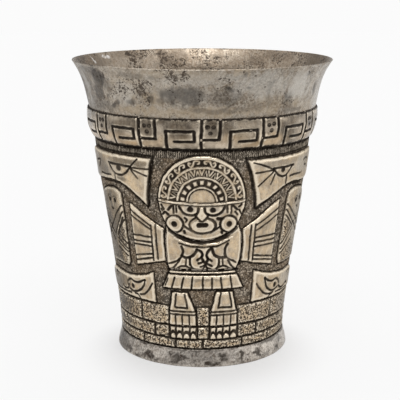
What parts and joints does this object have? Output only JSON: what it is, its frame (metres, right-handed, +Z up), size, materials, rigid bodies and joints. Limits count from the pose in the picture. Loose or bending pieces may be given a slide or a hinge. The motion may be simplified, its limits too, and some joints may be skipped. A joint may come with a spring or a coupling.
{
  "type": "vase",
  "caption": "Footed silver beaker vase with a flared collar, a stepped fret band and a wall chased with figures over masonry courses.",
  "frame": {"origin": "centre of the foot's lower edge, on the table", "axes": "+Z up along the vase's axis, -Y the way the front figure faces, +X to the right in the picture"},
  "size_m": [0.1452, 0.1458, 0.1651],
  "materials": {
    "collar_silver": "smooth silver with a grey and tan tarnish",
    "band_silver": "burnished silver with darkened fret lines",
    "chased_silver": "worn raised figures on a matted, blackened ground",
    "foot_silver": "plain silver with dark smudges",
    "floor_silver": "dull grey-brown tarnish",
    "solder": "dull solder fillet"
  },
  "bodies": {
    "root": {"rim_collar": "collar_silver", "fret_band": "band_silver", "figure_wall": "chased_silver", "foot_ring": "foot_silver", "floor_disc": "floor_silver", "solder_collar": "solder", "solder_band": "solder", "solder_foot": "solder", "solder_floor": "solder"}
  },
  "joints": []
}
